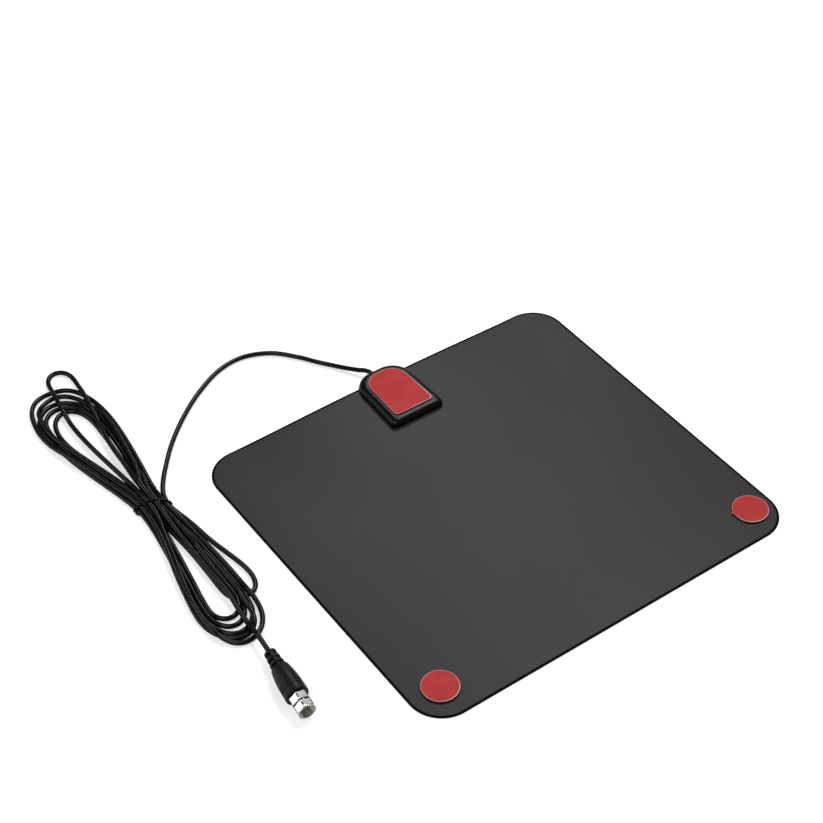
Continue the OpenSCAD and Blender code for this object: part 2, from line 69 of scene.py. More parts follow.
GROOVE, GROOVE_R, THREAD_H, PITCH, NECK_R = (5.6, 7.2), 4.95, 0.35, 0.8, 3.18


# ---------------------------------------------------------------- meshes
def skin(name, grid, round_ring=True, round_rows=False, ends=(True, True), sharp=40.0):
    """A mesh over a grid of points in mm, rows by points along a row: each four neighbours make a face.
    round_ring joins each row's end to its start, round_rows joins the last row to the first, and ends fills the
    first and last rows. Edges that turn by more than sharp degrees stay crisp."""
    grid = np.asarray(grid, float) * MM
    rows, cols = grid.shape[:2]
    i = np.arange(rows if round_rows else rows - 1)[:, None]
    j = np.arange(cols if round_ring else cols - 1)[None]
    k, l = (i + 1) % rows, (j + 1) % cols
    quads = np.stack([i * cols + j, i * cols + l, k * cols + l, k * cols + j], -1).reshape(-1, 4)
    points = grid.reshape(-1, 3)
    a, b, c, d = (points[quads[:, n]] for n in range(4))
    flux = (np.cross(c - a, d - b) * (a + b + c + d - 4 * points.mean(0))).sum()
    faces = quads.tolist()
    if ends[0] and not round_rows:
        faces.append(list(range(cols))[::-1])
    if ends[1] and not round_rows:
        faces.append(list(range((rows - 1) * cols, rows * cols)))
    if flux < 0:
        faces = [f[::-1] for f in faces]
    mesh = bpy.data.meshes.new(name)
    mesh.from_pydata(points.tolist(), [], faces)
    mesh.validate()
    mesh.shade_smooth()
    mesh.set_sharp_from_angle(angle=math.radians(sharp))
    piece = bpy.data.objects.new(name, mesh)
    bpy.context.scene.collection.objects.link(piece)
    return piece


def add_value(piece, name, values):
    """Stores one number per point, which a finish can read."""
    layer = piece.data.attributes.new(name, "FLOAT", "POINT")
    layer.data.foreach_set("value", np.asarray(values, np.float32).ravel())


def dress(piece, finish, body=BODY, stands_for=()):
    """Gives a piece its finish and its body, and hides the solids it stands for."""
    piece.data.materials.clear()
    piece.data.materials.append(finish.material)
    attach(piece, body)
    if stands_for:
        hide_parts(*stands_for)
    return piece


def ease(u):
    """3u^2 - 2u^3 between 0 and 1."""
    u = np.clip(u, 0, 1)
    return u * u * (3 - 2 * u)


def outline(corners, arc=10, side=8):
    """A loop round circles (x, y, r), counter-clockwise: an arc of points on each circle, then points along the
    straight tangent to the next one."""
    c = np.array([(x, y) for x, y, r in corners], float)
    r = np.array([r for x, y, r in corners], float)
    step = np.roll(c, -1, 0) - c
    length = np.hypot(*step.T)
    along = step / length[:, None]
    lean = (r - np.roll(r, -1)) / length
    out = np.sqrt(1 - lean**2)[:, None] * np.stack([along[:, 1], -along[:, 0]], 1) + lean[:, None] * along
    leave = np.arctan2(out[:, 1], out[:, 0])
    reach = np.roll(leave, 1)
    sweep = (leave - reach) % (2 * math.pi)
    turn = reach[:, None] + sweep[:, None] * np.linspace(0, 1, arc)[None]
    bend = c[:, None] + r[:, None, None] * np.stack([np.cos(turn), np.sin(turn)], -1)
    start, end = bend[:, -1], np.roll(bend[:, 0], -1, 0)
    share = np.linspace(0, 1, side + 2)[1:-1, None]
    straight = start[:, None] + (end - start)[:, None] * share
    return np.concatenate([bend, straight], 1).reshape(-1, 2)


def housing_outline(inset):
    """The housing's outline moved inwards: small near corners, large far ones, and sides that draw in towards the far
    end."""
    slope = (HOUSING_FAR_W - HOUSING_W) / 2 / HOUSING_L
    near, far = max(NEAR_R - inset / 2, PAD_CORNER_R), FAR_R - inset / 2
    near_y, far_y = HOUSING_Y0 + inset + near, HOUSING_Y1 - inset - far

    def half(y, off):
        return HOUSING_W / 2 + slope * (y - HOUSING_Y0) - off * math.hypot(1, slope)

    xn, xf = half(near_y, inset + near), half(far_y, inset + far)
    return outline([(HOUSING_X - xn, near_y, near), (HOUSING_X + xn, near_y, near),
                    (HOUSING_X + xf, far_y, far), (HOUSING_X - xf, far_y, far)])


def at_height(loop, z):
    """A flat loop as a row of points at one height."""
    return np.column_stack([loop, np.full(len(loop), z)])


# ---------------------------------------------------------------- finishes
class Socket:
    """A shader value. Its operators add Math nodes to the finish it belongs to."""

    def __init__(self, finish, link):
        self.finish, self.link = finish, link

    def _math(self, operation, first, second=0.0):
        return self.finish.node("ShaderNodeMath", {"operation": operation}, {0: first, 1: second})

    def __add__(self, other):
        return self._math("ADD", self, other)

    def __mul__(self, other):
        return self._math("MULTIPLY", self, other)

    __radd__, __rmul__ = __add__, __mul__

    def above(self, other):
        return self._math("GREATER_THAN", self, other)


class Finish:
    """A node material. node() adds one node and gives its output; surface() ends in the shader."""

    def __init__(self, name):
        self.material = bpy.data.materials.new(name)
        self.material.use_nodes = True
        self.tree = self.material.node_tree
        self.tree.nodes.clear()

    def node(self, kind, settings=None, inputs=None, out=0):
        made = self.tree.nodes.new(kind)
        for key, value in (settings or {}).items():
            setattr(made, key, value)
        for key, value in (inputs or {}).items():
            if isinstance(value, Socket):
                self.tree.links.new(value.link, made.inputs[key])
            else:
                made.inputs[key].default_value = value
        return Socket(self, made.outputs[out])

    def place(self):
        """Object coordinates."""
        return self.node("ShaderNodeTexCoord", out="Object")

    def value(self, name):
        """A number stored on the piece's points."""
        return self.node("ShaderNodeAttribute", {"attribute_name": name}, out="Fac")

    def noise(self, scale, detail=2.0, rough=0.5, place=None):
        return self.node("ShaderNodeTexNoise", {},
                         {"Vector": place or self.place(), "Scale": scale, "Detail": detail, "Roughness": rough})

    def mix(self, factor, first, second):
        """A colour between two colours."""
        return self.node("ShaderNodeMix", {"data_type": "RGBA"}, {0: factor, 6: first, 7: second}, out=2)

    def smooth(self, value, low, high, start=0.0, end=1.0):
        return self.node("ShaderNodeMapRange", {"interpolation_type": "SMOOTHSTEP"},
                         {0: value, 1: low, 2: high, 3: start, 4: end})

    def bump(self, height, distance, strength=1.0):
        return self.node("ShaderNodeBump", {}, {"Height": height, "Distance": distance, "Strength": strength})

    def up(self):
        """How far a face looks up: 1 on top, 0 at the sides."""
        return self.node("ShaderNodeSeparateXYZ", {}, {0: self.node("ShaderNodeNewGeometry", out="Normal")}, out="Z")

    def surface(self, colour, **sockets):
        """Ends the material in one shader. Names of sockets are written with underscores."""
        shader = self.tree.nodes.new("ShaderNodeBsdfPrincipled")
        end = self.tree.nodes.new("ShaderNodeOutputMaterial")
        self.tree.links.new(shader.outputs[0], end.inputs[0])
        for key, value in {"Base_Color": colour, **sockets}.items():
            socket = shader.inputs[key.replace("_", " ")]
            if isinstance(value, Socket):
                self.tree.links.new(value.link, socket)
            else:
                socket.default_value = value
        return self


def rgb(r, g, b):
    """A shader colour from a display colour of 0 to 255."""
    c = np.array([r, g, b]) / 255
    c = np.where(c <= 0.04045, c / 12.92, ((c + 0.055) / 1.055) ** 2.4)
    return (*c.tolist(), 1.0)


def film_finish():
    """Charcoal plastic sheet: a very fine grain, faint mottling, and a black line of painted shade along its cut edge.
    """
    f = Finish("charcoal_film")
    grain = f.noise(2600, 2, 0.6)
    mottle = f.noise(9, 3, 0.55)
    tone = f.mix(f.smooth(mottle, 0.3, 0.7), rgb(38, 38, 39), rgb(41, 41, 42))
    tone = f.mix(f.smooth(grain, 0.25, 0.75), f.mix(0.16, tone, rgb(24, 24, 25)), f.mix(0.12, tone, rgb(72, 72, 74)))
    # The black line along the cut edge is painted shade.
    line = f.value("painted_edge_shade")
    rough = 0.28 + grain * 0.07 + line * 0.6
    return f.surface(f.mix(line, tone, rgb(1, 1, 1)), Roughness=rough, Specular_IOR_Level=0.15,
                     Normal=f.bump(grain, 0.00004, 0.6))


def shell_finish():
    """Satin black moulded plastic with a faint spark-eroded texture."""
    f = Finish("satin_shell")
    grain = f.noise(1900, 3, 0.6)
    wide = f.noise(60, 2, 0.5)
    colour = f.mix(f.smooth(wide, 0.35, 0.7), rgb(7, 8, 9), rgb(11, 12, 13))
    return f.surface(colour, Roughness=0.16 + 0.12 * grain + 0.05 * wide, Specular_IOR_Level=0.22,
                     Normal=f.bump(grain, 0.00003, 0.5))


def liner_finish():
    """Red release liner: a smooth film over paper, paler where its cut rim catches the light."""
    f = Finish("red_liner")
    fibre = f.noise(1500, 3, 0.6)
    cloud = f.noise(70, 2, 0.5)
    tone = f.mix(f.smooth(cloud, 0.3, 0.7), rgb(186, 30, 32), rgb(198, 42, 42))
    tone = f.mix(f.smooth(fibre, 0.3, 0.75), f.mix(0.18, tone, rgb(140, 30, 34)), tone)
    return f.surface(f.mix(f.value("rim"), tone, rgb(246, 205, 202)), Roughness=0.36 + 0.1 * fibre,
                     Specular_IOR_Level=0.18, Normal=f.bump(fibre, 0.00002, 0.4))


def foam_finish(name, dim, bright):
    """Double-sided foam tape: near-black at its sides, the adhesive's colour on its face."""
    f = Finish(name)
    cells = f.node("ShaderNodeTexVoronoi", {}, {"Vector": f.place(), "Scale": 3200.0})
    face = f.mix(f.smooth(cells, 0.1, 0.6), dim, bright)
    # Faces that look up get the face colour, the sides a near-black.
    colour = f.mix(f.smooth(f.up(), 0.5, 0.9), rgb(14, 14, 15), face)
    return f.surface(colour, Roughness=0.75 + 0.1 * cells, Normal=f.bump(cells, 0.00006, 0.7))


def jacket_finish():
    """Black cord jacket: satin, with a fine drawn texture."""
    f = Finish("cord_jacket")
    fine = f.noise(1400, 3, 0.6)
    wide = f.noise(120, 2, 0.5)
    colour = f.mix(f.smooth(wide, 0.3, 0.7), rgb(4, 4, 5), rgb(8, 8, 9))
    return f.surface(colour, Roughness=0.15 + 0.1 * fine + 0.05 * wide, Specular_IOR_Level=0.28,
                     Normal=f.bump(fine, 0.00003, 0.5))


def boot_finish():
    """Moulded soft black plastic, duller than the jacket, with rubbed paler specks."""
    f = Finish("moulded_boot")
    fine = f.noise(1100, 4, 0.65)
    wide = f.noise(150, 2, 0.5)
    colour = f.mix(f.smooth(wide, 0.3, 0.7), rgb(8, 8, 9), rgb(14, 14, 15))
    colour = f.mix(f.smooth(fine, 0.5, 0.8), colour, rgb(50, 50, 50))
    return f.surface(colour, Roughness=0.32 + 0.16 * fine, Specular_IOR_Level=0.26, Normal=f.bump(fine, 0.00014, 0.8))


def metal_finish(name, colour, dark, roughness):
    """Plated metal: fine turning marks, and darker where its value 'groove' is high, which paints shade into hollows
    and dark lines along corners.
    """
    f = Finish(name)
    fine = f.noise(900, 3, 0.6)
    shade = f.mix(f.value("groove"), f.mix(f.smooth(fine, 0.35, 0.75), colour, f.mix(0.12, colour, dark)), dark)
    return f.surface(shade, Metallic=1.0, Roughness=roughness + 0.1 * fine, Normal=f.bump(fine, 0.000004, 0.2))


def plain_finish(name, colour, roughness, metallic=0.0, scale=800.0, relief=0.00002):
    """Any inner piece: its colour with a fine variation and relief."""
    f = Finish(name)
    fine = f.noise(scale, 3, 0.6)
    darker = tuple(0.7 * c for c in colour[:3]) + (1.0,)
    return f.surface(f.mix(f.smooth(fine, 0.3, 0.75), darker, colour), Metallic=metallic,
                     Roughness=roughness + 0.1 * fine, Normal=f.bump(fine, relief, 0.5))


FILM_LOOK, SHELL_LOOK, LINER_LOOK = film_finish(), shell_finish(), liner_finish()
TAPE_LOOK = foam_finish("grey_foam_tape", rgb(150, 144, 136), rgb(172, 167, 159))
DISC_TAPE_LOOK = foam_finish("black_foam_tape", rgb(26, 25, 25), rgb(40, 38, 38))
JACKET_LOOK, BOOT_LOOK = jacket_finish(), boot_finish()
NICKEL_LOOK = metal_finish("bright_nickel", rgb(232, 230, 226), rgb(52, 50, 48), 0.12)

# ---------------------------------------------------------------- camera
scene = bpy.context.scene
camera = bpy.data.objects.new("camera", bpy.data.cameras.new("camera"))
scene.collection.objects.link(camera)
scene.camera = camera
camera.data.lens, camera.data.sensor_width = 83.05, 36.0
camera.data.clip_start, camera.data.clip_end = 0.05, 20.0
RIGHT, UP, BACK = (0.8153, -0.5790, -0.0069), (0.4019, 0.5574, 0.7265), (-0.4168, -0.5951, 0.6871)
camera.matrix_world = Matrix.Translation((-0.5343, -0.6763, 0.8857)) @ Matrix((RIGHT, UP, BACK)).transposed().to_4x4()

# ---------------------------------------------------------------- cord
LEAD = [(CORD_X, EXIT_Y, EXIT_Z), (-1.6, 138.9, 4.6), (-4.4, 142.2, 4), (-8.4, 148, 3.1), (-12.6, 154.6, 2.3),
        (-17.2, 161.6, 1.8), (-23.5, 170.5, 1.7), (-30, 180.4, 1.7), (-43.5, 195.5, 1.7), (-62.5, 203.5, 1.7),
        (-83.5, 201, 1.7), (-107.5, 188.7, 1.7), (-129, 172.8, 1.7), (-147, 156, 1.7), (-162, 138, 2.5), (-170, 127, 4)]
TAIL = [(-189, -20, 7.6), (-189.6, -26, 7.5), (-190.1, -31.5, 7.4), (-190.5, -36.3, 7.4), (-191.4, -44.2, 7.4)]
WAIST = (-185.0, 113.0)
LAYER = (1.65, 4.51, 7.37)


def slot_at(x, layer):
    """A strand's place in the tied waist of the hank, from its middle."""
    return [(WAIST[0] + x, WAIST[1], LAYER[layer])]


def lift(heights, *places):
    """Route points from places (x, y) and one height, or a height for each."""
    z = np.broadcast_to(heights, len(places))
    return [(x, y, h) for (x, y), h in zip(places, z)]


# Folds towards the plug, each from its right-hand strand to its left-hand one, in the order they are wound
NEAR_FOLDS = [
    lift(1.7, (-174, 95), (-172.3, 80), (-169.5, 65), (-166.2, 48), (-163.9, 34), (-163.9, 25), (-166.4, 18),
         (-171.4, 13.8), (-177.6, 13.4), (-182.8, 16.8), (-185.2, 23), (-185.4, 34), (-185, 70), (-186, 95)),
    lift((1.7, 1.7, 3, 5, 4.5, 3, 1.7, 1.7, 1.7, 1.7, 1.7, 1.7, 1.7, 1.7), (-181.5, 88), (-180.2, 58),
         (-180.3, 32), (-181, 17), (-181.9, 7), (-186, -0.2), (-192.6, -3), (-199.4, -0.4), (-203, 6.6), (-203.2, 16),
         (-201.7, 28), (-199, 45), (-195.5, 68), (-192, 92)),
    lift((1.7, 1.7, 3, 5, 4, 1.7, 1.7, 1.7, 1.7, 1.7, 1.7, 1.7, 1.7, 1.7), (-178, 88), (-176.6, 58), (-176, 32),
         (-176.4, 14), (-180, -1), (-187, -8), (-196, -9), (-203, -3), (-207, 8), (-206.5, 22), (-204, 38),
         (-200.5, 58), (-196.5, 80), (-194, 98)),
    lift((4.9, 4.9, 5, 5, 5, 3.2, 1.8, 1.8, 3.2, 4.9, 5, 4.9, 4.9, 4.9), (-180.5, 88), (-180.8, 58), (-181.2, 36),
         (-181, 23), (-181.6, 14), (-185, 7), (-191, 3.6), (-197.5, 5.6), (-201.3, 12), (-201.8, 21), (-200, 34),
         (-196.4, 50), (-192.8, 70), (-190, 92)),
    lift((4.9, 4.9, 6, 8, 7, 5, 5, 5, 5, 5, 5, 5, 4.9, 4.9, 4.7), (-183, 88), (-180, 58), (-178.8, 32),
         (-179.5, 14), (-181.5, -3), (-186, -11), (-194, -13.5), (-202, -9), (-207.5, 0), (-209, 12), (-206.5, 30),
         (-202, 52), (-197, 75), (-194.5, 88), (-192.6, 98)),
    lift((4.9, 4.9, 4.9, 5, 4, 2.2, 1.7, 1.7, 4, 8, 8.2, 8.2, 8.2, 8.2, 8.2, 7.8), (-175.5, 92), (-173.8, 68),
         (-173, 42), (-172.6, 18), (-173.5, 4), (-177, -7), (-184, -14.5), (-192, -17.5), (-200, -15.5),
         (-205.5, -7), (-208, 5), (-207.5, 20), (-204, 40), (-199, 60), (-193, 82), (-188.6, 98)),
]
# Folds away from the plug, each from its left-hand strand to its right-hand one
FAR_FOLDS = [
    lift(1.7, (-188.5, 130), (-193, 150), (-198.5, 172), (-202.5, 190), (-203.5, 205), (-201.5, 217),
         (-197, 224.5), (-191, 227), (-184.5, 225), (-179.5, 218.5), (-178, 208), (-178.5, 192), (-180, 172),
         (-181.5, 150), (-182.5, 130)),
    lift(1.7, (-192, 130), (-197, 152), (-202.5, 175), (-206.5, 195), (-207.5, 210), (-206, 222), (-201.5, 229.5),
         (-194.5, 232), (-186, 229.5), (-179.5, 222.5), (-175.5, 210), (-174.5, 192), (-176, 170), (-178, 148),
         (-179.5, 130)),
    lift([1.7] * 9 + [3] + [4.9] * 6, (-195.5, 130), (-200.5, 152), (-206, 176), (-210, 198), (-210.8, 214),
         (-209, 226), (-204, 234), (-196, 237.5), (-187, 236), (-179, 229), (-173, 216), (-171, 197), (-173, 174),
         (-177, 150), (-180.5, 130), (-181.2, 122)),
    lift((4.9, 4.9, 4.9, 4.9, 4.9, 4.9, 4, 2.5, 2.5, 4, 4.9, 5.5, 6.5, 7, 5.5), (-190.5, 130), (-196, 152),
         (-201.5, 175), (-206.5, 197), (-208.5, 214), (-207, 228), (-202, 238), (-194.5, 242.5), (-186, 243),
         (-178.5, 237), (-172.5, 223), (-170.5, 205), (-172, 180), (-177, 150), (-183, 130)),
    lift((4.9, 4.9, 4.9, 4.9, 4.5, 3, 1.7, 1.7, 1.7, 1.7, 1.7, 2, 2.5, 2.5, 2.5, 3.5, 4.4), (-194, 130),
         (-200, 152), (-206, 176), (-211, 197), (-212.5, 215), (-211, 230), (-207, 241), (-200.5, 247.5),
         (-191.5, 249.5), (-182.5, 248.5), (-175, 242.5), (-169.5, 230), (-166.8, 212), (-167.5, 190),
         (-170.5, 165), (-174.5, 140), (-177.5, 124)),
    lift((7.8, 7.8, 7.8, 7.5, 7, 7, 6, 4.5, 3.6, 2.8, 2.2, 2, 2.2, 3, 5.5, 7.4, 8, 8, 8, 8, 7.8), (-187, 130),
         (-188.5, 150), (-191, 175), (-192.2, 196), (-191.8, 216), (-189.2, 235), (-187, 248), (-186, 257.4),
         (-184.7, 261.9), (-181.6, 265.2), (-177.2, 266.5), (-172.9, 265.2), (-169.6, 261.9), (-168.4, 257.4),
         (-169.2, 248), (-171, 236), (-173, 222), (-176.3, 202), (-180, 181), (-181.5, 158), (-183, 132)),
]
NEAR_SLOTS = [slot_at(8.25, 0), slot_at(1.65, 0), slot_at(4.95, 0), slot_at(3.3, 1), slot_at(0, 1), slot_at(6.6, 1)]
FAR_SLOTS = [slot_at(-1.65, 0), slot_at(-4.95, 0), slot_at(-8.25, 0), slot_at(-3.3, 1), slot_at(-6.6, 1),
             slot_at(-1.65, 2)]
LAST_SLOT = slot_at(1.65, 2)
OVER_THE_FOLDS = [(-184, 95, 7.9), (-184, 70, 8.2), (-184.5, 46, 8.3), (-184.5, 22, 9.2), (-187, 4, 8.6),
                  (-188.4, -10, 8.4)]
SETTLE_STEP, SETTLE_ROUNDS = 4.0, 110
STIFFNESS, TENSION, RECALL, WEIGHT = 0.095, 0.02, 0.03, 0.04
CURVE_STEPS, CORD_STEP, ROUND_SIDES = 12, 2.0, 12


def curve(points, steps):
    """A smooth curve through points: on each stretch, the cubic that meets its neighbours' chords."""
    p = np.asarray(points, float)
    p = np.vstack([p[:1], p, p[-1:]])
    u = np.linspace(0, 1, steps, endpoint=False)[:, None]
    a, b, c, d = p[:-3, None], p[1:-2, None], p[2:-1, None], p[3:, None]
    bend = 0.5 * (2 * b + (c - a) * u + (2 * a - 5 * b + 4 * c - d) * u**2 + (3 * b - a - 3 * c + d) * u**3)
    return np.vstack([bend.reshape(-1, 3), p[-1:]])


def even(points, step):
    """The same line with points at equal distances."""
    run = np.r_[0, np.cumsum(np.linalg.norm(np.diff(points, axis=0), axis=1))]
    at = np.linspace(0, run[-1], int(round(run[-1] / step)) + 1)
    return np.column_stack([np.interp(at, run, points[:, k]) for k in range(3)])


def settle(points, first, last):
    """Lets the wound cord lie: strands nearer than a diameter push each other apart, stiffness evens out the bends,
    each point is drawn lightly back to its guide, and weight takes it down to the table. Points outside first to
    last stay."""
    p, n = points.copy(), len(points)
    apart = np.abs(np.subtract.outer(np.arange(n), np.arange(n))) * SETTLE_STEP > 3 * CORD
    free = ((np.arange(n) > first) & (np.arange(n) < last))[:, None].astype(float)
    for _ in range(SETTLE_ROUNDS):
        gap = p[:, None] - p[None]
        dist = np.sqrt((gap**2).sum(2)) + 1e-9
        push = np.where(apart & (dist < CORD), (CORD - dist) / dist, 0.0)
        share = np.sqrt(np.maximum((push > 0).sum(1), 1))[:, None]
        move = 0.5 * (push[:, :, None] * gap).sum(1) / share
        move[2:-2] -= STIFFNESS * (p[:-4] - 4 * p[1:-3] + 6 * p[2:-2] - 4 * p[3:-1] + p[4:])
        move[1:-1] += TENSION * ((p[:-2] + p[2:]) / 2 - p[1:-1])
        move += (points - p) * (RECALL, RECALL, 0)
        move[:, 2] -= WEIGHT
        p += free * move
        p[:, 2] = np.maximum(p[:, 2], CORD / 2)
    return p


def tube(name, path, diameter, sides, across=(0, 0, 1), closed=False):
    """A round tube: at each point of the path, a circle square to it. across is a direction that the path never takes.
    A closed path joins its end to its start."""
    t = np.roll(path, -1, 0) - np.roll(path, 1, 0) if closed else np.gradient(path, axis=0)
    t /= np.linalg.norm(t, axis=1)[:, None]
    s = np.cross(t, across)
    s /= np.linalg.norm(s, axis=1)[:, None]
    u = np.cross(s, t)
    a = np.linspace(0, 2 * math.pi, sides, endpoint=False)
    ring = s[:, None] * np.cos(a)[None, :, None] + u[:, None] * np.sin(a)[None, :, None]
    return skin(name, path[:, None] + ring * diameter / 2, round_rows=closed)


turns = []
for near_slot, near_fold, far_slot, far_fold in zip(NEAR_SLOTS, NEAR_FOLDS, FAR_SLOTS, FAR_FOLDS):
    turns += near_slot + near_fold + far_slot + far_fold
guide = even(curve(LEAD + turns + LAST_SLOT + OVER_THE_FOLDS + TAIL, CURVE_STEPS), SETTLE_STEP)
lead_end = int(np.argmin(np.linalg.norm(guide - LEAD[-2], axis=1)))
tail_start = int(np.argmin(np.linalg.norm(guide - TAIL[0], axis=1)))
cord_line = even(curve(settle(guide, lead_end, tail_start), 4), CORD_STEP)
cord = tube("coaxial_cord", cord_line, CORD, ROUND_SIDES)
dress(cord, JACKET_LOOK, stands_for=("cord_lead", "cord_hank", "cord_tail"))

# ---------------------------------------------------------------- sheet
fan = outline([(-SHEET_W / 2 + SHEET_R, SHEET_Y - SHEET_D / 2 + SHEET_R, SHEET_R),
               (SHEET_W / 2 - SHEET_R, SHEET_Y - SHEET_D / 2 + SHEET_R, SHEET_R),
               (SHEET_W / 2 - SHEET_R, EDGE_Y - SHEET_R, SHEET_R),
               (-SHEET_W / 2 + SHEET_R, EDGE_Y - SHEET_R, SHEET_R)], arc=24, side=40)


def film(name, low, high, shares):
    """One film of the sheet: its outline drawn in towards the middle of the housing by each share, at heights that
    rise there by the eased distance. The points within the border of its cut edge have the value 1: painted shade."""
    middle = np.array([HOUSING_X, RISE_Y])
    side = np.roll(fan, -1, 0) - np.roll(fan, 1, 0)
    facing = np.column_stack([side[:, 1], -side[:, 0]]) / np.hypot(*side.T)[:, None]

    def level(share, z, inset=0.0):
        reach = fan - middle
        length = np.hypot(*reach.T)[:, None]
        slant = np.maximum((reach * facing).sum(1)[:, None] / length, 0.15)
        flat = middle + reach * share * (1 - inset / slant / length)
        rise = FRONT * (1 - ease((np.hypot(*(flat - middle).T) - RISE_R) / RISE_RUN))
        return np.column_stack([flat, rise + z])

    # border is the width of the painted shade line at the cut edge.
    soft, border = 0.06, 1.6
    rows = [level(s, low) for s in shares] + [level(1, low + soft / 2), level(1, high - soft), level(1, high, soft),
                                              level(1, high, border - 0.1), level(1, high, border + 0.1)]
    rows += [level(s, high, border + 0.3) for s in shares[::-1]]
    piece = skin(name, rows, sharp=30)
    # Value 1 on the border rows paints a black shade line along the cut edge.
    line = np.zeros((len(rows), len(fan)))
    line[len(shares):len(shares) + 4] = 1
    add_value(piece, "painted_edge_shade", line)
    return piece


shares = np.r_[0.004, np.linspace(0.02, 0.985, 60)]
dress(film("front_sheet", 0.0, FILM, shares), FILM_LOOK, stands_for=("front_film",))
dress(film("rear_sheet", FILM + FOIL, SHEET, shares), FILM_LOOK, stands_for=("rear_film",))

# ---------------------------------------------------------------- housing
roll = np.radians(np.linspace(0, 90, 15))
rim = [(FOOT + 0.35, SEAM), (FOOT, SEAM + 0.3)]
rim += [(FOOT * (1 - a) + ROLL * (1 - math.cos(t)), SEAM + UPRIGHT + (REAR - UPRIGHT) * math.sin(t))
        for a, t in zip(np.linspace(0, 1, 15), roll)]
rim += [(RIM - 0.35, TOP), (RIM - 0.15, TOP - 0.06), (RIM - 0.1, TOP - 0.2), (RIM - 0.1, TOP - RECESS)]
rim += [(RIM + 1.5, TOP - RECESS), (RIM + 3, TOP - RECESS)]
rear = skin("rear_shell_skin", [at_height(housing_outline(i), z) for i, z in rim], sharp=50)
dress(rear, SHELL_LOOK, stands_for=("rear_shell",))

# ---------------------------------------------------------------- liners
def liner(name, loop, base, stands_for, towards, least):
    """A release liner over its pad: flat, with its rim lifted by 0.16 mm. loop(inset) is its outline moved inwards. The
    pale rim is a painted highlight, strongest on the side that faces towards, and at least least."""
    rows = [(0.1, 0), (0, 0.02), (0, LINER + 0.14), (0.06, LINER + 0.16), (0.34, LINER + 0.12), (0.5, LINER + 0.06),
            (0.9, LINER + 0.01), (1.6, LINER), (3.2, LINER)]
    grid = np.stack([at_height(loop(i), base + z) for i, z in rows])
    piece = skin(name, grid)
    out = grid[0, :, :2] - grid[6, :, :2]
    out /= np.linalg.norm(out, axis=1)[:, None]
    # side and fade make the painted highlight on the rim: strongest where the rim faces towards, fading inwards.
    side = least + (1 - least) * np.clip(out @ towards, 0, 1) ** 1.5
    fade = np.array([1, 1, 1, 1, 0.85, 0.12, 0, 0, 0])
    add_value(piece, "rim", fade[:, None] * side[None])
    return dress(piece, LINER_LOOK, stands_for=(stands_for,))


def disc_loop(x, tab=None):
    """A round outline about a corner pad. A tab is a spot where the cut left a little tongue, 1.5 mm long."""
    a = np.linspace(0, 2 * math.pi, 120, endpoint=False)
    y = SHEET_Y - SHEET_D / 2 + DISC_INSET

    def loop(inset):
        r = DISC_R - 0.2 - inset
        if tab is not None and inset < 0.7:
            off = (a - tab + math.pi) % (2 * math.pi) - math.pi
            r = r + 1.5 * np.exp(-((off / 0.055) ** 2))
        return np.column_stack([x + r * np.cos(a), y + r * np.sin(a)])

    return loop


# The sides that the liners' painted rim highlights face.
NEAR_LEFT, NEAR_RIGHT = (-0.35, -0.94), (0.45, -0.89)
liner("housing_liner_film", lambda i: housing_outline(RIM + i), TOP - RECESS + PAD, "housing_liner", NEAR_RIGHT, 0.28)
liner("left_disc_liner", disc_loop(HOUSING_X - DISC_APART), SHEET + DISC_PAD, "left_liner", NEAR_RIGHT, 0.4)
liner("right_disc_liner", disc_loop(HOUSING_X + DISC_APART, DISC_TAB), SHEET + DISC_PAD,
      "right_liner", NEAR_LEFT, 0.35)

# ---------------------------------------------------------------- tie
TIE_R, TIE_PRESS, TIE_AT = 0.6, 0.1, np.array([-184.6, 113.5, 0])
TIE_SIDE, TIE_ALONG = np.array([0.935, -0.355, 0]), np.array([0.355, 0.935, 0])


def tight_loop():
    """The tie's line: in each direction round the bundle, the point of the furthest strand, moved out by the radii of
    cord and wire. The line is then spaced evenly and its corners are averaged."""
    reach = cord_line - TIE_AT
    crosses = (np.abs(reach @ TIE_ALONG) < 1.6) & (np.abs(reach @ TIE_SIDE) < 20)
    strands = np.column_stack([reach[crosses] @ TIE_SIDE, reach[crosses, 2]])
    turn = np.linspace(0, 2 * math.pi, 361)
    way = np.column_stack([np.cos(turn), np.sin(turn)])
    loop = strands[np.argmax(strands @ way.T, axis=0)] + (CORD / 2 + TIE_R - TIE_PRESS) * way
    loop = even(np.column_stack([loop, 0 * turn]), 0.5)[:-1]
    loop = sum(np.roll(loop, k, 0) for k in range(-2, 3)) / 5
    line = TIE_AT + loop[:, :1] * TIE_SIDE + loop[:, 1:2] * (0, 0, 1)
    line[:, 2] = np.maximum(line[:, 2], TIE_R)
    return line


tie = tube("wire_tie", tight_loop(), 2 * TIE_R, 10, TIE_ALONG, closed=True)
dress(tie, JACKET_LOOK, stands_for=("cord_tie",))
hook = curve([(-193.4, 117.2, 4.0), (-194.4, 117.1, 3.4), (-196.1, 116.2, 2.5), (-196.5, 115.0, 1.4),
              (-195.7, 113.8, 0.9), (-194.2, 113.0, 0.7)], 10)
tie_end = dress(tube("tie_hook_end", hook, 2 * TIE_R, 10), JACKET_LOOK)

# ---------------------------------------------------------------- coupling nut
PLUG_SIDE = np.array([math.cos(PLUG_TURN), math.sin(PLUG_TURN), 0])
PLUG_AXIS = np.array([math.sin(PLUG_TURN), -math.cos(PLUG_TURN), 0])


def round_plug(rows, angles):
    """Points round the plug's axis. Each row holds its place along the axis and its radius at every angle."""
    r = np.array([np.broadcast_to(radius, angles.shape) for s, radius in rows])
    s = np.array([s for s, radius in rows])[:, None, None]
    spoke = np.cos(angles)[:, None] * PLUG_SIDE + np.sin(angles)[:, None] * (0, 0, 1)
    return PLUG + s * PLUG_AXIS + r[:, :, None] * spoke


